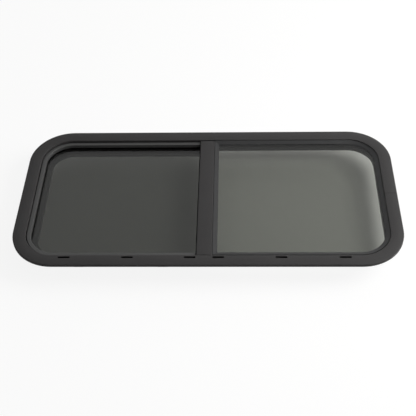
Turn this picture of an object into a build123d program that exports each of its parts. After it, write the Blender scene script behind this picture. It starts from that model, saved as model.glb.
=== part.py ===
"""Half-slider camper window, upright, seen from outside along +Y.

X runs along the width, Z is up and +Y points into the vehicle. The origin is the middle of the flange's
back, the plane that lies on the outside of the wall. The frame is one extrusion bent round four corners.
The left pane is a sash that slides to the right behind the fixed right pane.
"""

import os
from build123d import *

# Overall size and bent corners
frame_width = 1000.0
frame_height = 490.0
corner_radius = 114.0

# Flange that lies on the wall
flange_width = 33.4
flange_rise = 8.2
flange_crest = 14.0
flange_outer_drop = 1.4
flange_inner_drop = 2.2
flange_outer_round = 3.0
flange_inner_round = 1.6
flange_lip = 3.0
flange_skin = 3.0
seam_width = 0.5
seam_depth = 0.4

# Spigot that goes through the wall
spigot_inset = 21.5
screw_groove_inset = 24.5
screw_groove_width = 2.0
screw_groove_depth = 4.5

# Glazing rebate and the deep wall behind it
rebate_width = 12.4
rebate_depth = 15.6

# Sash track
glass_thickness = 4.0
run_wall = 1.2
run_clearance = 0.3
run_setback = 0.5
track_web = 3.1
track_floor_inset = 26.0
rear_lip_thickness = 7.9
rear_lip_inset = 44.9

# Weep slots in the bottom flange
slot_length = 30.0
slot_width = 6.2
slot_skin = 1.4
slot_inset = 25.0
slot_centre = -5.2
slot_offsets = (35.6, 192.2, 350.7)

# Drain chamber behind each slot
chamber_length = 36.0
chamber_wall = 1.2
drain_length = 16.0
drain_width = 2.0

# Mullion between the panes
mullion_centre = -5.35
mullion_face = 39.3
mullion_step = 1.6
mullion_leg = 1.4
mullion_crown = 0.8
mullion_round = 1.6
mullion_top_gap = 4.5
mullion_bottom_gap = 0.2
mullion_side_gap = 0.3
mullion_gasket_gap = 1.2

# Fixed pane and its gasket
gasket_gap = 0.2
gasket_foot = 1.5
gasket_lip = 0.8
gasket_wall = 3.2
gasket_rise = 11.0
gasket_reach = 11.4
mitre_gap = 0.1
pane_lift = 2.8

# Infill strip in the empty half of the rebate
infill_width = 10.5
infill_height = 7.8
infill_chamfer = 1.0
infill_round = 1.5

# Sash stile, seal, pull and latch
stile_width = 27.0
stile_left = -4.0
stile_front_wall = 1.5
stile_back_wall = 4.5
stile_end_clearance = 5.0
stile_round = 1.5
glass_bite = 15.0
seal_width = 3.2
seal_edge = 0.3
seal_clearance = 0.3
pull_height = 110.0
pull_width = 18.0
pull_depth = 12.0
pull_taper = 10.0
pull_chamfer = 1.5
scoop_height = 84.0
scoop_width = 8.0
scoop_depth = 6.0
scoop_lip = 3.0
latch_height = 40.0
latch_width = 12.0
latch_depth = 8.0
latch_gap = 8.0
latch_thickness = 3.0
latch_rib = 7.0
latch_taper = 8.0
bolt_edge = 8.5
keeper_height = 36.0
keeper_width = 6.0
keeper_thickness = 1.4
keeper_round = 1.5
keeper_slot_length = 16.0
keeper_slot_width = 3.0

# Pile strip on the back of the mullion
pile_width = 8.0
pile_fin = 2.1
pile_fin_front = 1.0
pile_clearance = 0.3

# Travel stops at the open end of the track
stop_length = 8.0
stop_gap = 0.5
stop_side_gap = 0.5

# Insect screen behind the sash
screen_inner_inset = 59.6
screen_frame_width = 22.0
screen_stile_width = 17.0
screen_thickness = 8.0
mesh_thickness = 0.6
mesh_bite = 3.0
spline_width = 4.0
spline_depth = 4.0
clip_length = 24.0
clip_reach = 5.0
clip_thickness = 2.0
clip_step = 0.5
clip_gap = 0.5
clip_base_width = 9.0
clip_fractions = (0.17, 0.76)

# Values that follow from those above
half_width = frame_width / 2
half_height = frame_height / 2
run_x = half_width - corner_radius
run_z = half_height - corner_radius
seal_floor = -flange_rise + flange_inner_drop + flange_skin
rebate_floor = rebate_depth - flange_rise
wall_inset = flange_width + rebate_width
track_front = rebate_floor + track_web
track_width = glass_thickness + 2 * (run_wall + run_clearance)
track_rear = track_front + track_width
rear_lip_back = track_rear + rear_lip_thickness
sash_front = track_front + run_wall + run_clearance
sash_back = sash_front + glass_thickness
sash_inset = track_floor_inset + run_wall + run_clearance
mullion_left = mullion_centre - mullion_face / 2
mullion_right = mullion_centre + mullion_face / 2
mullion_front = mullion_step - flange_rise
mullion_back = rebate_floor + mullion_leg
mullion_foot = mullion_right + mullion_gasket_gap
mullion_lip = mullion_foot + gasket_reach
gasket_foot_inset = flange_width + gasket_gap
opening_top = half_height - wall_inset
fixed_back = rebate_floor - gasket_foot
fixed_front = fixed_back - glass_thickness
fixed_inset = gasket_foot_inset + gasket_wall
stile_front = sash_front - stile_front_wall
stile_back = sash_back + stile_back_wall
sash_lead = stile_left + glass_bite
stop_start = run_x - stop_length
stile_half = opening_top - stile_end_clearance
stile_right = stile_left + stile_width
stile_middle = stile_left + stile_width / 2
bolt_x = stile_right - bolt_edge
latch_base = pull_height / 2 + latch_gap
latch_middle = latch_base + latch_height / 2
screen_back = rear_lip_back + screen_thickness


def section(points, rounds=()):
    """A closed section of straight sides, with the named corners rounded."""
    face = make_face(Polyline(*points, close=True))
    for point, radius in rounds:
        corner = face.vertices().sort_by_distance((point[0], point[1], 0))[0]
        face = fillet(corner, radius)
    return face


def bottom_plane(x, lift=0):
    """Section plane across the bottom rail, inset along local X and depth along local Y."""
    return Plane(origin=(x, 0, -half_height + lift), x_dir=(0, 0, 1), z_dir=(-1, 0, 0))


def top_plane(x):
    """Section plane across the top rail, inset along local X and depth along local Y."""
    return Plane(origin=(x, 0, half_height), x_dir=(0, 0, -1), z_dir=(1, 0, 0))


def bent_jamb(profile, lift=0):
    """The right jamb with its two bent corners, the lower one raised by lift."""
    jamb_plane = Plane(origin=(half_width, 0, run_z), x_dir=(-1, 0, 0), z_dir=(0, 0, -1))
    jamb = extrude(jamb_plane * profile, 2 * run_z - lift)
    lower = Axis((run_x, 0, -run_z + lift), (0, -1, 0))
    upper = Axis((run_x, 0, run_z), (0, 1, 0))
    jamb += revolve(bottom_plane(run_x, lift) * profile, lower, 90)
    jamb += revolve(top_plane(run_x) * profile, upper, 90)
    return jamb


def half_loop(profile, x_end, lift=0):
    """The profile from x_end along both rails and round the right jamb, with the bottom raised by lift."""
    length = run_x - x_end
    loop = bent_jamb(profile, lift)
    loop += extrude(bottom_plane(run_x, lift) * profile, length)
    loop += extrude(top_plane(x_end) * profile, length)
    return loop.clean()


def left_half_loop(profile, x_end):
    """The profile from x_end along both rails and round the left jamb."""
    return mirror(half_loop(profile, -x_end), about=Plane.YZ)


def full_loop(profile):
    """The profile all the way round the window."""
    return (half_loop(profile, 0) + left_half_loop(profile, 0)).clean()


def block(x_low, x_high, y_low, y_high, z_low, z_high):
    """A box between two corners."""
    middle = ((x_low + x_high) / 2, (y_low + y_high) / 2, (z_low + z_high) / 2)
    return Pos(*middle) * Box(x_high - x_low, y_high - y_low, z_high - z_low)


def upright_bar(points, z_low, z_high, rounds=()):
    """A section in X and Y, extruded upwards."""
    base = Plane(origin=(0, 0, z_low), x_dir=(1, 0, 0), z_dir=(0, 0, 1))
    return extrude(base * section(points, rounds), z_high - z_low)


def half_pane(inset, x_edge, y_front, thickness, lift=0):
    """A pane with two round corners on the right and a straight edge at x_edge, its bottom raised by lift."""
    width = frame_width - 2 * inset
    height = frame_height - 2 * inset - lift
    outline = RectangleRounded(width, height, corner_radius - inset)
    plane = Plane(origin=(0, y_front, lift / 2), x_dir=(1, 0, 0), z_dir=(0, -1, 0))
    pane = extrude(plane * outline, -thickness)
    return pane - block(-half_width, x_edge, y_front - 1, y_front + thickness + 1, -half_height, half_height)


def frame_profile():
    """Section of the frame: flange, rebate, deep wall, sash track and spigot."""
    outer = (0, -flange_rise + flange_outer_drop)
    inner = (flange_width, -flange_rise + flange_inner_drop)
    groove_low = screw_groove_inset - screw_groove_width / 2
    groove_high = screw_groove_inset + screw_groove_width / 2
    groove_floor = rear_lip_back - screw_groove_depth
    crown = ThreePointArc(outer, (flange_crest, -flange_rise), inner)
    sides = Polyline(
        inner,
        (flange_width, rebate_floor),
        (wall_inset, rebate_floor),
        (wall_inset, track_front),
        (track_floor_inset, track_front),
        (track_floor_inset, track_rear),
        (rear_lip_inset, track_rear),
        (rear_lip_inset, rear_lip_back),
        (groove_high, rear_lip_back),
        (groove_high, groove_floor),
        (groove_low, groove_floor),
        (groove_low, rear_lip_back),
        (spigot_inset, rear_lip_back),
        (spigot_inset, seal_floor),
        (flange_lip, seal_floor),
        (flange_lip, 0),
        (0, 0),
        outer,
    )
    face = make_face(crown + sides)
    for point, radius in ((outer, flange_outer_round), (inner, flange_inner_round)):
        corner = face.vertices().sort_by_distance((point[0], point[1], 0))[0]
        face = fillet(corner, radius)
    return face


def crown_face(inset):
    """Depth of the flange's face at an inset past its crest."""
    share = (inset - flange_crest) / (flange_width - flange_crest)
    return flange_inner_drop * share**2 - flange_rise


def drain_chamber(x):
    """Hollow behind a weep slot, with a hole in its back that lets the sash track drain."""
    low = spigot_inset + chamber_wall
    high = flange_width - chamber_wall
    back = rebate_floor - chamber_wall
    outline = (
        (low, crown_face(low) + slot_skin),
        (high, crown_face(high) + slot_skin),
        (high, back),
        (low, back),
    )
    hollow = extrude(bottom_plane(x + chamber_length / 2) * section(outline), chamber_length)
    track_floor = -half_height + track_floor_inset
    return hollow + block(
        x - drain_length / 2,
        x + drain_length / 2,
        back - 1,
        track_front + drain_width,
        track_floor,
        track_floor + drain_width,
    )


def weep_slot(x):
    """A slot in the bottom flange, cut from the front into its drain chamber."""
    plane = Plane(origin=(x, -flange_rise, -half_height + slot_inset), x_dir=(1, 0, 0), z_dir=(0, -1, 0))
    depth = flange_rise + crown_face(slot_inset) + 2 * slot_skin
    return extrude(plane * SlotOverall(slot_length, slot_width), -depth) + drain_chamber(x)


def seam():
    """Hairline across the flange where the ends of the bent extrusion meet."""
    return block(
        half_width - flange_width - 1,
        half_width + 1,
        -flange_rise - 1,
        -flange_rise + flange_inner_drop + seam_depth,
        -seam_width / 2,
        seam_width / 2,
    )


def outer_frame():
    """The bent extrusion with its weep slots."""
    frame = full_loop(frame_profile())
    for offset in slot_offsets:
        frame -= weep_slot(slot_centre - offset)
        frame -= weep_slot(slot_centre + offset)
    return frame - seam()


def flange_seal():
    """Seal strip in the recess behind the flange."""
    points = ((flange_lip, seal_floor), (spigot_inset, seal_floor), (spigot_inset, 0), (flange_lip, 0))
    return full_loop(section(points))


def channel_infill():
    """Strip that closes the empty half of the glazing rebate, on the sash side."""
    outer = wall_inset - infill_width
    face_depth = rebate_floor - infill_height
    points = (
        (outer, face_depth + infill_chamfer),
        (outer + infill_chamfer, face_depth),
        (wall_inset, face_depth),
        (wall_inset, rebate_floor),
        (outer, rebate_floor),
    )
    rounds = ((points[2], infill_round),)
    return left_half_loop(section(points, rounds), mullion_left - pile_fin)


def gasket_points(foot_edge):
    """Corners of the wedge-shaped gasket that grips the edge of the fixed pane."""
    lip_edge = foot_edge + gasket_reach
    glass_edge = foot_edge + gasket_wall
    return (
        (foot_edge, rebate_floor - gasket_rise),
        (lip_edge, fixed_front - gasket_lip),
        (lip_edge, fixed_front),
        (glass_edge, fixed_front),
        (glass_edge, fixed_back),
        (lip_edge, fixed_back),
        (lip_edge, rebate_floor),
        (foot_edge, rebate_floor),
    )


def mitre_zone(gap):
    """The mullion gasket's side of the two mitres with the frame's gasket, cut back by gap at both ends."""
    foot_end = half_height - gasket_foot_inset - gap
    lip_end = foot_end - gasket_reach
    corners = (
        (mullion_foot, pane_lift - foot_end),
        (mullion_lip, pane_lift - lip_end),
        (mullion_lip, lip_end),
        (mullion_foot, foot_end),
    )
    plane = Plane(origin=(0, rebate_floor, 0), x_dir=(1, 0, 0), z_dir=(0, -1, 0))
    return extrude(plane * section(corners), gasket_rise)


def glazing_gasket():
    """Gasket of the fixed pane in the frame's rebate, set on packers that leave a gap along the bottom flange."""
    points = gasket_points(gasket_foot_inset)
    return half_loop(section(points), mullion_foot, pane_lift) - mitre_zone(0)


def mullion_gasket():
    """Gasket of the fixed pane along the mullion, mitred into the frame's gasket."""
    bar = upright_bar(gasket_points(mullion_foot), -half_height, half_height)
    return bar & mitre_zone(mitre_gap)


def fixed_glass():
    """The right pane, held in its gasket."""
    left_edge = mullion_foot + gasket_wall
    return half_pane(fixed_inset, left_edge, fixed_front, glass_thickness, pane_lift)


def mullion():
    """The upright between the panes, notched at both ends to sit in the rebate."""
    crown_edge = mullion_front + mullion_crown
    left = (mullion_left, crown_edge)
    right = (mullion_right, crown_edge)
    crown = ThreePointArc(left, (mullion_centre, mullion_front), right)
    sides = Polyline(
        right,
        (mullion_right, rebate_floor),
        (mullion_lip, rebate_floor),
        (mullion_lip, mullion_back),
        (mullion_left, mullion_back),
        left,
    )
    face = make_face(crown + sides)
    for point in (left, right):
        corner = face.vertices().sort_by_distance((point[0], point[1], 0))[0]
        face = fillet(corner, mullion_round)
    top_end = half_height - flange_width - mullion_top_gap
    bottom_end = mullion_bottom_gap - half_height + flange_width
    body_end = opening_top - mullion_side_gap
    bar = extrude(Plane(origin=(0, 0, bottom_end), z_dir=(0, 0, 1)) * face, top_end - bottom_end)
    for z_low, z_high in ((body_end, top_end + 1), (bottom_end - 1, -body_end)):
        bar -= block(mullion_left - 1, mullion_lip + 1, rebate_floor, mullion_back + 1, z_low, z_high)
    return bar


def mullion_pile():
    """Pile strip clipped round the mullion's edge on the sash side, brushing the sash glass."""
    tip = sash_front - pile_clearance
    half_length = opening_top - mullion_side_gap
    points = (
        (mullion_left - pile_fin, pile_fin_front),
        (mullion_left, pile_fin_front),
        (mullion_left, mullion_back),
        (mullion_left + pile_width, mullion_back),
        (mullion_left + pile_width, tip),
        (mullion_left - pile_fin, tip),
    )
    return upright_bar(points, -half_length, half_length)


def run_profile():
    """U-shaped section of the felt-lined run channel."""
    floor = track_floor_inset
    mouth = rear_lip_inset - run_setback
    return section(
        (
            (floor, track_front),
            (mouth, track_front),
            (mouth, track_front + run_wall),
            (floor + run_wall, track_front + run_wall),
            (floor + run_wall, track_rear - run_wall),
            (mouth, track_rear - run_wall),
            (mouth, track_rear),
            (floor, track_rear),
        )
    )


def jamb_run_channel():
    """Run channel round the closing jamb and its two corners."""
    return mirror(bent_jamb(run_profile()).clean(), about=Plane.YZ)


def bottom_run_channel():
    """Straight run channel along the bottom rail, up to the travel stop."""
    return extrude(bottom_plane(stop_start) * run_profile(), stop_start + run_x)


def top_run_channel():
    """Straight run channel along the top rail, up to the travel stop."""
    return extrude(top_plane(-run_x) * run_profile(), stop_start + run_x)


def travel_stop(side):
    """Rubber stop in the track, side is 1 at the top and -1 at the bottom."""
    outer = side * (half_height - track_floor_inset)
    inner = side * (half_height - rear_lip_inset + run_setback)
    z_low, z_high = sorted((outer, inner))
    return block(stop_start, run_x, track_front + stop_side_gap, track_rear - stop_side_gap, z_low, z_high)


def sash_glass():
    """The sliding pane, with round corners on the closing side."""
    pane = half_pane(sash_inset, -sash_lead, sash_front, glass_thickness)
    return mirror(pane, about=Plane.YZ)


def sash_stile():
    """Channel along the leading edge of the sash glass."""
    points = (
        (stile_left, stile_front),
        (stile_right, stile_front),
        (stile_right, stile_back),
        (stile_left, stile_back),
        (stile_left, sash_back),
        (sash_lead, sash_back),
        (sash_lead, sash_front),
        (stile_left, sash_front),
    )
    rounds = ((points[1], stile_round), (points[2], stile_round))
    return upright_bar(points, -stile_half, stile_half, rounds)


def sash_seal():
    """Seal strip between the stile and the back of the mullion."""
    right = stile_right - stile_round - seal_edge
    return block(
        right - seal_width, right, mullion_back + seal_clearance, stile_front, -stile_half, stile_half
    )


def stile_plane(x, z):
    """Plane on the inside of the stile, X along the window and Y downwards, pointing into the vehicle."""
    return Plane(origin=(x, stile_back, z), x_dir=(1, 0, 0), z_dir=(0, 1, 0))


def sash_pull():
    """Moulded finger pull on the inside of the stile, hollowed for the fingers on the closing side."""
    outline = SlotOverall(pull_height, pull_width, rotation=90)
    pull = extrude(stile_plane(stile_middle, 0) * outline, pull_depth, taper=pull_taper)
    pull = chamfer(pull.faces().sort_by(Axis.Y)[-1].edges(), pull_chamfer)
    scoop_back = stile_back + pull_depth - scoop_lip
    scoop = block(
        stile_middle - pull_width,
        stile_middle - pull_width / 2 + scoop_width,
        scoop_back - scoop_depth,
        scoop_back,
        -scoop_height / 2,
        scoop_height / 2,
    )
    return pull - scoop


def latch_lever():
    """Thumb latch above the finger pull, a rounded plate with a raised rib."""
    plate = extrude(
        stile_plane(bolt_x, latch_middle) * SlotOverall(latch_height, latch_width, rotation=90),
        latch_thickness,
    )
    rib = extrude(
        stile_plane(bolt_x, latch_middle) * Rectangle(latch_width, latch_rib),
        latch_depth,
        taper=latch_taper,
    )
    return plate + rib


def latch_keeper():
    """Strike plate on the back of the mullion's glass leg, with a slot for the latch bolt."""
    plane = Plane(origin=(bolt_x, mullion_back, latch_middle), x_dir=(1, 0, 0), z_dir=(0, 1, 0))
    outline = RectangleRounded(keeper_width, keeper_height, keeper_round)
    outline -= SlotOverall(keeper_slot_length, keeper_slot_width, rotation=90)
    return extrude(plane * outline, keeper_thickness)


def screen_sheet(inset, x_edge, y_front, thickness):
    """Solid outline of the insect screen at an inset, with its straight edge at x_edge."""
    return mirror(half_pane(inset, -x_edge, y_front, thickness), about=Plane.YZ)


def screen_groove():
    """Room for the spline, a ring in the back of the screen frame."""
    front = screen_back - spline_depth
    inner_inset = screen_inner_inset - mesh_bite
    right_edge = mullion_left + mesh_bite
    ring = screen_sheet(inner_inset - spline_width, right_edge + spline_width, front, spline_depth)
    return ring - screen_sheet(inner_inset, right_edge, front - 1, spline_depth + 2)


def screen_mesh():
    """Woven mesh, let into the back of the screen frame as far as the spline."""
    front = screen_back - mesh_thickness
    return screen_sheet(screen_inner_inset - mesh_bite, mullion_left + mesh_bite, front, mesh_thickness)


def screen_frame():
    """Frame of the insect screen, seated on the back of the rear lip."""
    outer_inset = screen_inner_inset - screen_frame_width
    right_edge = mullion_left + screen_stile_width
    ring = screen_sheet(outer_inset, right_edge, rear_lip_back, screen_thickness)
    opening = screen_sheet(screen_inner_inset, mullion_left, rear_lip_back - 1, screen_thickness + 2)
    return ring - opening - screen_mesh() - screen_groove()


def screen_clip(x, side):
    """Clip on the rear lip that holds the screen, side is 1 at the top and -1 at the bottom."""
    outer_inset = screen_inner_inset - screen_frame_width
    base_low = outer_inset - clip_gap - clip_base_width
    points = (
        (base_low, rear_lip_back),
        (outer_inset - clip_gap, rear_lip_back),
        (outer_inset - clip_gap, screen_back),
        (outer_inset + clip_reach, screen_back),
        (outer_inset + clip_reach, screen_back + clip_thickness),
        (outer_inset - clip_gap, screen_back + clip_thickness),
        (outer_inset - clip_gap, screen_back + clip_thickness - clip_step),
        (base_low, screen_back + clip_thickness - clip_step),
    )
    start = x - clip_length / 2
    plane = top_plane(start) if side > 0 else bottom_plane(start + clip_length)
    return extrude(plane * section(points), clip_length)


nodes = {
    "outer_frame": outer_frame(),
    "flange_seal": flange_seal(),
    "channel_infill": channel_infill(),
    "fixed_glass": fixed_glass(),
    "glazing_gasket": glazing_gasket(),
    "mullion": mullion(),
    "mullion_gasket": mullion_gasket(),
    "mullion_pile": mullion_pile(),
    "jamb_run_channel": jamb_run_channel(),
    "bottom_run_channel": bottom_run_channel(),
    "top_run_channel": top_run_channel(),
    "bottom_travel_stop": travel_stop(-1),
    "top_travel_stop": travel_stop(1),
    "sash_glass": sash_glass(),
    "sash_stile": sash_stile(),
    "sash_seal": sash_seal(),
    "sash_pull": sash_pull(),
    "latch_lever": latch_lever(),
    "latch_keeper": latch_keeper(),
    "screen_frame": screen_frame(),
    "screen_mesh": screen_mesh(),
    "screen_spline": screen_groove(),
}
for number, fraction in enumerate(clip_fractions, start=1):
    place = -run_x + fraction * (run_x + mullion_left)
    nodes[f"top_screen_clip_{number}"] = screen_clip(place, 1)
    nodes[f"bottom_screen_clip_{number}"] = screen_clip(place, -1)

os.makedirs("parts", exist_ok=True)
for name, shape in nodes.items():
    shape.label = name
    export_step(shape, f"parts/{name}.step")

print(f"sash travel {stop_start - stop_gap - sash_lead:.1f} mm")
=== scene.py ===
"""Half-slider camper window: finishes, insect mesh, screws, stage, light and camera."""

import math
import bpy
from mathutils import Matrix, Vector


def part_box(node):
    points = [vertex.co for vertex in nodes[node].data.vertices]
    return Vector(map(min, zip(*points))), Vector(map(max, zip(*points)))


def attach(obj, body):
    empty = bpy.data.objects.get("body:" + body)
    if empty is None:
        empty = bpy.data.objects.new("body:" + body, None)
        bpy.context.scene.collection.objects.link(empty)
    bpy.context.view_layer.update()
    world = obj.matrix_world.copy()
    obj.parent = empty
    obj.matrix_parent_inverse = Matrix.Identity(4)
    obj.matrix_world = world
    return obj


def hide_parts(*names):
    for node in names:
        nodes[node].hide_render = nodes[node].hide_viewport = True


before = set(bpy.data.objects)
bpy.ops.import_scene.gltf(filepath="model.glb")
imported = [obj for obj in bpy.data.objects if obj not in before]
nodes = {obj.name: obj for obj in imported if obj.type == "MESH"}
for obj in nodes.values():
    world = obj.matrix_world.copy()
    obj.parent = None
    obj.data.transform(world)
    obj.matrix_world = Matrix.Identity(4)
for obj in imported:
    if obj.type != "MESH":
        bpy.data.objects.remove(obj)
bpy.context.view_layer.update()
MM = 0.001

# Insect mesh, with rays longer than the screen that find its outline
YARN_THICKNESS = 0.32 * MM
YARN_PITCH = 1.5 * MM
YARN_SIDES = 6
RAY_REACH = 1.0

# Screw heads, with the crown's radius and the cross's length as shares of the head
SCREW_HEAD = 5.2 * MM
SCREW_RISE = 0.3 * MM
SCREW_SIDES = 24
CROWN_SHARE = 0.44
CROSS_WIDTH = 0.8 * MM
CROSS_SHARE = 0.6
CROSS_DEPTH_IN_RISES = 4.0

# Places of the screws: from the ends of the pieces, and below their highest face
CLIP_SCREW_EDGE = 5 * MM
CLIP_FOOT_STEP = 0.5 * MM
KEEPER_SCREW_EDGE = 5 * MM
KEEPER_SCREW_SINK = 0.1 * MM
PULL_SCREW_EDGE = 12 * MM

GLASS_IOR = 1.5

# Camera fitted to the outline of the flange, image 416 x 416
IMAGE_SIDE = 416
FOCAL_PIXELS = 850.0
SENSOR = 36.0
CAMERA_PLACE = Vector((80.0, -1632.2, -1571.3)) * MM
CAMERA_YAW = 0.04841
CAMERA_PITCH = 0.75101
CAMERA_ROLL = 0.03041
CAMERA_NEAR = 0.05
CAMERA_FAR = 60.0

# White wall behind the window, and the grey studio sheet that the panes mirror, in metres
WALL_DEPTH = 60 * MM
WALL_HALF = 6.0
WALL_SHADE = 0.12
STUDIO_GREY = 0.76
STUDIO_DEPTH = -2.6
STUDIO_HALF = 3.2
STUDIO_LOW = 1.15
STUDIO_HIGH = 5.0

# Soft light of the room, from below and from above
WORLD_LOW = 0.04
WORLD_HIGH = 0.24


def linear(code):
    """Linear colour of an sRGB hex value."""
    parts = [int(code[i:i + 2], 16) / 255 for i in (1, 3, 5)]
    return tuple(c / 12.92 if c <= 0.04045 else ((c + 0.055) / 1.055) ** 2.4 for c in parts) + (1.0,)


def add(tree, kind, settings):
    """Adds a node. A setting names an attribute or a socket, and an output given to a socket is linked."""
    node = tree.nodes.new(kind)
    for key, value in settings.items():
        if isinstance(value, bpy.types.NodeSocket):
            tree.links.new(value, node.inputs[key])
        elif isinstance(key, str) and hasattr(node, key):
            setattr(node, key, value)
        else:
            node.inputs[key].default_value = value
    return node.outputs


def new_material(name):
    """An empty node material, its tree and its Object coordinates."""
    mat = bpy.data.materials.new(name)
    mat.use_nodes = True
    tree = mat.node_tree
    tree.nodes.clear()
    return mat, tree, add(tree, "ShaderNodeTexCoord", {})["Object"]


def finish(mat, tree, shader):
    """Ends a material's tree in its shader."""
    add(tree, "ShaderNodeOutputMaterial", {"Surface": shader})
    return mat


def powder_coat():
    """Aluminium with a stoved satin powder coat: even black, a faint orange peel breaks the highlight."""
    mat, tree, place = new_material("powder coated aluminium")
    # Real peel is 1 mm wide, drawn at 4 mm to show
    peel = add(tree, "ShaderNodeTexNoise", {"Vector": place, "Scale": 1 / (4 * MM), "Detail": 2.0})
    cloud = add(tree, "ShaderNodeTexNoise", {"Vector": place, "Scale": 1 / (120 * MM), "Detail": 3.0})
    colour = add(tree, "ShaderNodeMix", {"data_type": "RGBA", "Factor": cloud["Fac"],
                                         "A": linear("#333232"), "B": linear("#3a3939")})
    rough = add(tree, "ShaderNodeMapRange", {"Value": peel["Fac"], "To Min": 0.56, "To Max": 0.66})
    bump = add(tree, "ShaderNodeBump", {"Height": peel["Fac"], "Strength": 0.5, "Distance": 0.15 * MM})
    shader = add(tree, "ShaderNodeBsdfPrincipled", {"Base Color": colour["Result"],
                                                    "Roughness": rough["Result"],
                                                    "Normal": bump["Normal"], "Specular IOR Level": 0.11})
    return finish(mat, tree, shader[0])


def screen_paint():
    """Roll-formed aluminium with a thin black paint: flatter than the powder coat, and faintly uneven."""
    mat, tree, place = new_material("painted roll-formed aluminium")
    waver = add(tree, "ShaderNodeTexNoise", {"Vector": place, "Scale": 1 / (3 * MM), "Detail": 1.0})
    colour = add(tree, "ShaderNodeMix", {"data_type": "RGBA", "Factor": waver["Fac"],
                                         "A": linear("#181919"), "B": linear("#1f2020")})
    bump = add(tree, "ShaderNodeBump", {"Height": waver["Fac"], "Strength": 0.2, "Distance": 0.02 * MM})
    shader = add(tree, "ShaderNodeBsdfPrincipled", {"Base Color": colour["Result"], "Roughness": 0.5,
                                                    "Normal": bump["Normal"]})
    return finish(mat, tree, shader[0])


def gasket_rubber():
    """Extruded EPDM: dull black with a pale bloom in patches."""
    mat, tree, place = new_material("extruded EPDM rubber")
    bloom = add(tree, "ShaderNodeTexNoise", {"Vector": place, "Scale": 1 / (25 * MM), "Detail": 4.0})
    skin = add(tree, "ShaderNodeTexNoise", {"Vector": place, "Scale": 1 / (1.2 * MM), "Detail": 2.0})
    colour = add(tree, "ShaderNodeMix", {"data_type": "RGBA", "Factor": bloom["Fac"],
                                         "A": linear("#1f1f20"), "B": linear("#2b2b2b")})
    bump = add(tree, "ShaderNodeBump", {"Height": skin["Fac"], "Strength": 0.3, "Distance": 0.04 * MM})
    shader = add(tree, "ShaderNodeBsdfPrincipled", {"Base Color": colour["Result"], "Roughness": 0.6,
                                                    "Normal": bump["Normal"], "Specular IOR Level": 0.25})
    return finish(mat, tree, shader[0])


def infill_rubber():
    """Soft extruded strip: satin, a little greyer than the gasket."""
    mat, tree, place = new_material("extruded soft vinyl")
    skin = add(tree, "ShaderNodeTexNoise", {"Vector": place, "Scale": 1 / (2 * MM), "Detail": 2.0})
    colour = add(tree, "ShaderNodeMix", {"data_type": "RGBA", "Factor": skin["Fac"],
                                         "A": linear("#2f2f2f"), "B": linear("#383837")})
    bump = add(tree, "ShaderNodeBump", {"Height": skin["Fac"], "Strength": 0.25, "Distance": 0.04 * MM})
    shader = add(tree, "ShaderNodeBsdfPrincipled", {"Base Color": colour["Result"], "Roughness": 0.5,
                                                    "Normal": bump["Normal"]})
    return finish(mat, tree, shader[0])


def cell_foam():
    """Closed-cell polyethylene foam: matte, pitted with cells about 1 mm wide, with painted shade in the
    cells' hollows.
    """
    mat, tree, place = new_material("closed-cell polyethylene foam")
    cells = add(tree, "ShaderNodeTexVoronoi", {"Vector": place, "Scale": 1 / (1.5 * MM)})
    # Painted shade: the colour is darkest at the bottom of each cell, where the bump is lowest
    colour = add(tree, "ShaderNodeMix", {"data_type": "RGBA", "Factor": cells["Distance"],
                                         "A": linear("#131313"), "B": linear("#262626")})
    bump = add(tree, "ShaderNodeBump", {"Height": cells["Distance"], "Strength": 0.7, "Distance": 0.3 * MM})
    shader = add(tree, "ShaderNodeBsdfPrincipled", {"Base Color": colour["Result"], "Roughness": 0.95,
                                                    "Normal": bump["Normal"]})
    return finish(mat, tree, shader[0])


def flocked_felt():
    """Flock and wool pile: deep black, with fibre tips that catch the light at a low angle, and a tone that
    varies at random and is painted darker where the pile is lower.
    """
    mat, tree, place = new_material("flocked wool felt")
    fibre = add(tree, "ShaderNodeTexNoise", {"Vector": place, "Scale": 1 / (0.8 * MM), "Detail": 4.0})
    # Painted shade: the tone varies at random and is darker where the pile is lower, by the same noise as the
    # bump
    colour = add(tree, "ShaderNodeMix", {"data_type": "RGBA", "Factor": fibre["Fac"],
                                         "A": linear("#040404"), "B": linear("#101010")})
    bump = add(tree, "ShaderNodeBump", {"Height": fibre["Fac"], "Strength": 0.8, "Distance": 0.4 * MM})
    shader = add(tree, "ShaderNodeBsdfPrincipled", {"Base Color": colour["Result"], "Roughness": 0.95,
                                                    "Normal": bump["Normal"], "Specular IOR Level": 0.02,
                                                    "Sheen Weight": 0.05})
    return finish(mat, tree, shader[0])


def moulded_nylon():
    """Glass-filled nylon from a spark-eroded mould: satin black with a fine even grain."""
    mat, tree, place = new_material("moulded nylon")
    # Real grain is 0.2 mm wide, drawn at 1.2 mm to show
    grain = add(tree, "ShaderNodeTexVoronoi", {"Vector": place, "Scale": 1 / (1.2 * MM),
                                               "feature": "SMOOTH_F1"})
    colour = add(tree, "ShaderNodeMix", {"data_type": "RGBA", "Factor": grain["Distance"],
                                         "A": linear("#19191a"), "B": linear("#212122")})
    bump = add(tree, "ShaderNodeBump", {"Height": grain["Distance"], "Strength": 0.35, "Distance": 0.08 * MM})
    shader = add(tree, "ShaderNodeBsdfPrincipled", {"Base Color": colour["Result"], "Roughness": 0.48,
                                                    "Normal": bump["Normal"]})
    return finish(mat, tree, shader[0])


def zinc_plate():
    """Steel with bright zinc: cool grey metal, a little cloudy."""
    mat, tree, place = new_material("zinc plated steel")
    cloud = add(tree, "ShaderNodeTexNoise", {"Vector": place, "Scale": 1 / (4 * MM), "Detail": 3.0})
    colour = add(tree, "ShaderNodeMix", {"data_type": "RGBA", "Factor": cloud["Fac"],
                                         "A": linear("#9c9fa1"), "B": linear("#babcbc")})
    rough = add(tree, "ShaderNodeMapRange", {"Value": cloud["Fac"], "To Min": 0.25, "To Max": 0.45})
    shader = add(tree, "ShaderNodeBsdfPrincipled", {"Base Color": colour["Result"],
                                                    "Roughness": rough["Result"], "Metallic": 1.0})
    return finish(mat, tree, shader[0])


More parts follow.
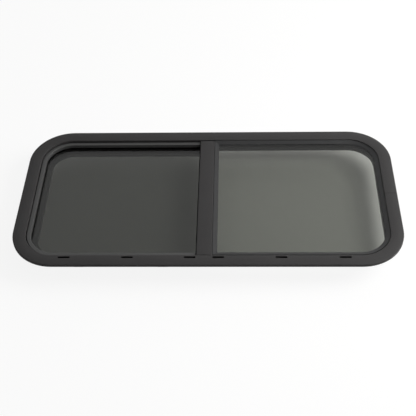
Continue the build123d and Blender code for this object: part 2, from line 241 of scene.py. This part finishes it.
def screen_yarn():
    """Vinyl-coated glass-fibre yarn: charcoal, slightly shiny."""
    mat, tree, place = new_material("vinyl coated glass-fibre yarn")
    slub = add(tree, "ShaderNodeTexNoise", {"Vector": place, "Scale": 1 / (20 * MM), "Detail": 3.0})
    colour = add(tree, "ShaderNodeMix", {"data_type": "RGBA", "Factor": slub["Fac"],
                                         "A": linear("#1a1a1a"), "B": linear("#262626")})
    shader = add(tree, "ShaderNodeBsdfPrincipled", {"Base Color": colour["Result"], "Roughness": 0.45})
    return finish(mat, tree, shader[0])


def privacy_glass():
    """Toughened grey float glass: it dims what is behind it, and its polished faces mirror the room."""
    mat, tree, _ = new_material("toughened grey float glass")
    side = add(tree, "ShaderNodeNewGeometry", {})
    clear = add(tree, "ShaderNodeBsdfTransparent", {"Color": linear("#c9cac7")})
    mirror = add(tree, "ShaderNodeBsdfGlossy", {"Roughness": 0.0})
    # A face seen from within mirrors as little as one seen from outside
    index = add(tree, "ShaderNodeMapRange", {"Value": side["Backfacing"], "To Min": GLASS_IOR,
                                             "To Max": 1 / GLASS_IOR})
    fresnel = add(tree, "ShaderNodeFresnel", {"IOR": index["Result"]})
    shader = add(tree, "ShaderNodeMixShader", {0: fresnel[0], 1: clear[0], 2: mirror[0]})
    return finish(mat, tree, shader[0])


def dress(mat, *names):
    """Gives CAD nodes their finish."""
    for name in names:
        mesh = nodes[name].data
        mesh.materials.clear()
        mesh.materials.append(mat)


clip_names = sorted(name for name in nodes if "screen_clip" in name)
zinc = zinc_plate()
dress(powder_coat(), "outer_frame", "mullion", "sash_stile")
dress(screen_paint(), "screen_frame")
dress(gasket_rubber(), "glazing_gasket", "mullion_gasket", "sash_seal", "top_travel_stop",
      "bottom_travel_stop", "screen_spline")
dress(infill_rubber(), "channel_infill")
dress(cell_foam(), "flange_seal")
dress(flocked_felt(), "mullion_pile", "jamb_run_channel", "top_run_channel", "bottom_run_channel")
dress(moulded_nylon(), "sash_pull", "latch_lever", *clip_names)
dress(zinc, "latch_keeper")
dress(privacy_glass(), "fixed_glass", "sash_glass")


def new_tree(name, inputs):
    """A geometry node tree with named inputs, each given as name: socket type."""
    tree = bpy.data.node_groups.new(name, "GeometryNodeTree")
    tree.interface.new_socket("Geometry", in_out="INPUT", socket_type="NodeSocketGeometry")
    for label, kind in inputs.items():
        tree.interface.new_socket(label, in_out="INPUT", socket_type=kind)
    tree.interface.new_socket("Geometry", in_out="OUTPUT", socket_type="NodeSocketGeometry")
    return tree, add(tree, "NodeGroupInput", {})


def grown(name, points, tree, *rounds):
    """Runs a tree on points, once for each round of input values, and keeps the result as a plain mesh."""
    mesh = bpy.data.meshes.new(name)
    mesh.from_pydata(points, [], [])
    obj = bpy.data.objects.new(name, mesh)
    sockets = {item.name: item.identifier for item in tree.interface.items_tree if item.in_out == "INPUT"}
    for values in rounds:
        modifier = obj.modifiers.new(tree.name, "NODES")
        modifier.node_group = tree
        for label, value in values.items():
            modifier[sockets[label]] = value
    bpy.context.scene.collection.objects.link(obj)
    ready = obj.evaluated_get(bpy.context.evaluated_depsgraph_get())
    result = bpy.data.meshes.new_from_object(ready)
    # A first slot without a material is the bare points' own
    if result.materials[0] is None:
        result.materials.pop(index=0)
    obj.modifiers.clear()
    obj.data = result
    return obj


def yarn_tree():
    """A row of parallel yarns, each as long as the screen lets it be, joined to what came before."""
    tree, given = new_tree("yarn row", {
        "Count": "NodeSocketInt", "First": "NodeSocketVector", "Step": "NodeSocketVector",
        "Along": "NodeSocketVector", "Thickness": "NodeSocketFloat", "Outline": "NodeSocketObject",
        "Yarn": "NodeSocketMaterial"})
    row = add(tree, "GeometryNodeMeshLine", {"mode": "OFFSET", "Count": given["Count"],
                                             "Start Location": given["First"], "Offset": given["Step"]})
    outline = add(tree, "GeometryNodeObjectInfo", {"Object": given["Outline"]})
    back = add(tree, "ShaderNodeVectorMath", {"operation": "SCALE", 0: given["Along"], "Scale": -1.0})
    ahead_end = add(tree, "GeometryNodeRaycast", {"Target Geometry": outline["Geometry"],
                                                  "Ray Direction": given["Along"], "Ray Length": RAY_REACH})
    back_end = add(tree, "GeometryNodeRaycast", {"Target Geometry": outline["Geometry"],
                                                 "Ray Direction": back[0], "Ray Length": RAY_REACH})
    length = add(tree, "ShaderNodeMath", {"operation": "ADD", 0: ahead_end["Hit Distance"],
                                          1: back_end["Hit Distance"]})
    middle = add(tree, "ShaderNodeMix", {"data_type": "VECTOR", "Factor": 0.5, 4: ahead_end["Hit Position"],
                                         5: back_end["Hit Position"]})
    centred = add(tree, "GeometryNodeSetPosition", {"Geometry": row[0], "Position": middle[1]})
    turn = add(tree, "FunctionNodeAlignRotationToVector", {"axis": "Z", "Vector": given["Along"]})
    radius = add(tree, "ShaderNodeMath", {"operation": "MULTIPLY", 0: given["Thickness"], 1: 0.5})
    yarn = add(tree, "GeometryNodeMeshCylinder", {"Vertices": YARN_SIDES, "Radius": radius[0], "Depth": 1.0})
    size = add(tree, "ShaderNodeCombineXYZ", {0: 1.0, 1: 1.0, 2: length[0]})
    yarns = add(tree, "GeometryNodeInstanceOnPoints", {"Points": centred[0], "Instance": yarn["Mesh"],
                                                       "Rotation": turn[0], "Scale": size[0]})
    joined = add(tree, "GeometryNodeJoinGeometry", {0: given["Geometry"]})
    real = add(tree, "GeometryNodeRealizeInstances", {0: yarns[0]})
    tree.links.new(real[0], tree.nodes["Join Geometry"].inputs[0])
    dressed = add(tree, "GeometryNodeSetMaterial", {"Geometry": joined[0], "Material": given["Yarn"]})
    add(tree, "NodeGroupOutput", {0: dressed[0]})
    return tree


def insect_mesh():
    """Woven insect mesh: upright yarns on the inside, level yarns on the outside, fused where they cross."""
    low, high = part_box("screen_mesh")
    middle = (low + high) / 2
    offset = (high.y - low.y - YARN_THICKNESS) / 2
    across = int((high.x - low.x) / YARN_PITCH)
    upward = int((high.z - low.z) / YARN_PITCH)
    first_x = middle.x - (across - 1) * YARN_PITCH / 2
    first_z = middle.z - (upward - 1) * YARN_PITCH / 2
    shared = {"Thickness": YARN_THICKNESS, "Outline": nodes["screen_mesh"], "Yarn": screen_yarn()}
    upright = {"Count": across, "First": (first_x, middle.y + offset, middle.z), "Step": (YARN_PITCH, 0, 0),
               "Along": (0, 0, 1), **shared}
    level = {"Count": upward, "First": (middle.x, middle.y - offset, first_z), "Step": (0, 0, YARN_PITCH),
             "Along": (1, 0, 0), **shared}
    mesh = grown("woven_insect_mesh", [], yarn_tree(), upright, level)
    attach(mesh, "frame")
    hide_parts("screen_mesh")


def screw_tree():
    """Low countersunk screw heads with a cross recess, one on each point, facing into the vehicle."""
    tree, given = new_tree("screw heads", {
        "Head": "NodeSocketFloat", "Rise": "NodeSocketFloat", "Cross": "NodeSocketFloat",
        "Steel": "NodeSocketMaterial"})
    rim = add(tree, "ShaderNodeMath", {"operation": "MULTIPLY", 0: given["Head"], 1: 0.5})
    crown = add(tree, "ShaderNodeMath", {"operation": "MULTIPLY", 0: given["Head"], 1: CROWN_SHARE})
    arm = add(tree, "ShaderNodeMath", {"operation": "MULTIPLY", 0: given["Head"], 1: CROSS_SHARE})
    depth = add(tree, "ShaderNodeMath", {"operation": "MULTIPLY", 0: given["Rise"], 1: CROSS_DEPTH_IN_RISES})
    head = add(tree, "GeometryNodeMeshCone", {"Vertices": SCREW_SIDES, "Radius Top": crown[0],
                                              "Radius Bottom": rim[0], "Depth": given["Rise"]})
    arm_size = add(tree, "ShaderNodeCombineXYZ", {0: arm[0], 1: given["Cross"], 2: depth[0]})
    level_arm = add(tree, "GeometryNodeMeshCube", {"Size": arm_size[0]})
    upright_arm = add(tree, "GeometryNodeTransform", {"Geometry": level_arm["Mesh"],
                                                      "Rotation": (0, 0, math.pi / 2)})
    half_cut = add(tree, "GeometryNodeMeshBoolean", {"operation": "DIFFERENCE", 0: head["Mesh"],
                                                     1: level_arm["Mesh"]})
    cut = add(tree, "GeometryNodeMeshBoolean", {"operation": "DIFFERENCE", 0: half_cut["Mesh"],
                                                1: upright_arm[0]})
    heads = add(tree, "GeometryNodeInstanceOnPoints", {"Points": given["Geometry"], "Instance": cut["Mesh"],
                                                       "Rotation": (-math.pi / 2, 0, 0)})
    real = add(tree, "GeometryNodeRealizeInstances", {0: heads[0]})
    dressed = add(tree, "GeometryNodeSetMaterial", {"Geometry": real[0], "Material": given["Steel"]})
    add(tree, "NodeGroupOutput", {0: dressed[0]})
    return tree


def screws():
    """Screws of the screen clips and the keeper, and of the finger pull on the sash."""
    on_frame = []
    for name in clip_names:
        low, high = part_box(name)
        z = high.z - CLIP_SCREW_EDGE if high.z > 0 else low.z + CLIP_SCREW_EDGE
        on_frame.append(((low.x + high.x) / 2, high.y - CLIP_FOOT_STEP, z))
    low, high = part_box("latch_keeper")
    for z in (low.z + KEEPER_SCREW_EDGE, high.z - KEEPER_SCREW_EDGE):
        on_frame.append(((low.x + high.x) / 2, high.y - KEEPER_SCREW_SINK, z))
    low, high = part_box("sash_pull")
    ends = (low.z + PULL_SCREW_EDGE, high.z - PULL_SCREW_EDGE)
    on_pull = [((low.x + high.x) / 2, high.y, z) for z in ends]
    tree = screw_tree()
    sizes = {"Head": SCREW_HEAD, "Rise": SCREW_RISE, "Cross": CROSS_WIDTH, "Steel": zinc}
    for name, points, body in (("frame_screws", on_frame, "frame"), ("pull_screws", on_pull, "sash")):
        heads = grown(name, points, tree, sizes)
        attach(heads, body)


insect_mesh()
screws()


def stage_sheet(name, half, depth, low, high, mat):
    """A flat upright sheet of the stage at a depth, from low to high and half its width to each side."""
    corners = [(-half, depth, low), (half, depth, low), (half, depth, high), (-half, depth, high)]
    mesh = bpy.data.meshes.new(name)
    mesh.from_pydata(corners, [], [(0, 1, 2, 3)])
    mesh.materials.append(mat)
    sheet = bpy.data.objects.new(name, mesh)
    bpy.context.scene.collection.objects.link(sheet)


def backdrop_rays(tree, path):
    """1 on the rays that show a white backdrop: from the camera, in gloss and through glass."""
    gloss = add(tree, "ShaderNodeMath", {"operation": "MAXIMUM", 0: path["Is Glossy Ray"],
                                         1: path["Is Transmission Ray"]})
    return add(tree, "ShaderNodeMath", {"operation": "MAXIMUM", 0: gloss[0], 1: path["Is Camera Ray"]})[0]


def white_wall():
    """White paint, near white with a faint shadow where no pane is in front, and as lit behind the panes.

    It is clear from behind and to lamps.
    """
    mat, tree, _ = new_material("white wall paint")
    side = add(tree, "ShaderNodeNewGeometry", {})
    path = add(tree, "ShaderNodeLightPath", {})
    paint = add(tree, "ShaderNodeBsdfDiffuse", {"Color": linear("#f2f2f0")})
    white = add(tree, "ShaderNodeEmission", {"Strength": 1.0})
    straight = add(tree, "ShaderNodeMath", {"operation": "LESS_THAN", 0: path["Transparent Depth"], 1: 0.5})
    seen = add(tree, "ShaderNodeMath", {"operation": "MULTIPLY", 0: straight[0],
                                        1: backdrop_rays(tree, path)})
    share = add(tree, "ShaderNodeMath", {"operation": "MULTIPLY", 0: seen[0], 1: 1 - WALL_SHADE})
    shown = add(tree, "ShaderNodeMixShader", {0: share[0], 1: paint[0], 2: white[0]})
    clear = add(tree, "ShaderNodeBsdfTransparent", {})
    open_side = add(tree, "ShaderNodeMath", {"operation": "MAXIMUM", 0: side["Backfacing"],
                                             1: path["Is Shadow Ray"]})
    shader = add(tree, "ShaderNodeMixShader", {0: open_side[0], 1: shown[0], 2: clear[0]})
    return finish(mat, tree, shader[0])


def studio_grey():
    """Grey studio sheet above and in front of the window, an even tone for the panes to mirror."""
    mat, tree, _ = new_material("studio grey")
    glow = add(tree, "ShaderNodeEmission", {"Strength": STUDIO_GREY})
    return finish(mat, tree, glow[0])


def area(name, place, size, power):
    """A round soft lamp that points at the window, with place and size in metres and power in watts."""
    data = bpy.data.lights.new(name, "AREA")
    data.shape = "DISK"
    data.size = size
    data.energy = power
    lamp = bpy.data.objects.new(name, data)
    lamp.location = place
    lamp.rotation_mode = "QUATERNION"
    lamp.rotation_quaternion = (-Vector(place)).to_track_quat("-Z", "Y")
    bpy.context.scene.collection.objects.link(lamp)


def world_light():
    """Soft light, stronger from above, which is white to the camera, in gloss and through glass."""
    world = bpy.data.worlds.new("studio")
    bpy.context.scene.world = world
    world.use_nodes = True
    tree = world.node_tree
    tree.nodes.clear()
    path = add(tree, "ShaderNodeLightPath", {})
    aim = add(tree, "ShaderNodeSeparateXYZ", {0: add(tree, "ShaderNodeTexCoord", {})["Generated"]})
    level = add(tree, "ShaderNodeMapRange", {"Value": aim["Z"], "From Min": -1.0, "To Min": WORLD_LOW,
                                             "To Max": WORLD_HIGH})
    soft = add(tree, "ShaderNodeBackground", {"Color": (1, 1, 1, 1), "Strength": level["Result"]})
    white = add(tree, "ShaderNodeBackground", {"Color": (1, 1, 1, 1), "Strength": 1.0})
    shader = add(tree, "ShaderNodeMixShader", {0: backdrop_rays(tree, path), 1: soft[0], 2: white[0]})
    add(tree, "ShaderNodeOutputWorld", {"Surface": shader[0]})


def make_camera():
    """Camera at the photograph's viewing angle."""
    data = bpy.data.cameras.new("camera")
    data.sensor_width = SENSOR
    data.lens = FOCAL_PIXELS / IMAGE_SIDE * SENSOR
    data.clip_start = CAMERA_NEAR
    data.clip_end = CAMERA_FAR
    cam = bpy.data.objects.new("camera", data)
    ahead = Vector((-math.sin(CAMERA_YAW) * math.cos(CAMERA_PITCH),
                    math.cos(CAMERA_YAW) * math.cos(CAMERA_PITCH), math.sin(CAMERA_PITCH)))
    right = Vector((math.cos(CAMERA_YAW), math.sin(CAMERA_YAW), 0))
    up = right.cross(ahead)
    side = right * math.cos(CAMERA_ROLL) + up * math.sin(CAMERA_ROLL)
    top = up * math.cos(CAMERA_ROLL) - right * math.sin(CAMERA_ROLL)
    turn = Matrix((side, top, -ahead)).transposed()
    cam.matrix_world = Matrix.Translation(CAMERA_PLACE) @ turn.to_4x4()
    bpy.context.scene.collection.objects.link(cam)
    bpy.context.scene.camera = cam


stage_sheet("backdrop", WALL_HALF, WALL_DEPTH, -WALL_HALF, WALL_HALF, white_wall())
stage_sheet("studio", STUDIO_HALF, STUDIO_DEPTH, STUDIO_LOW, STUDIO_HIGH, studio_grey())
area("key", place=(2.0, -1.5, 0.1), size=1.6, power=68)
area("side", place=(2.6, -0.55, 0.0), size=1.0, power=13)
area("low", place=(1.2, -1.9, -1.2), size=1.0, power=6)
area("top", place=(0.5, -1.6, 3.1), size=1.0, power=11)
area("back", place=(-1.0, 2.4, 1.2), size=3.5, power=150)
world_light()
make_camera()
bpy.context.scene.view_settings.view_transform = "Standard"
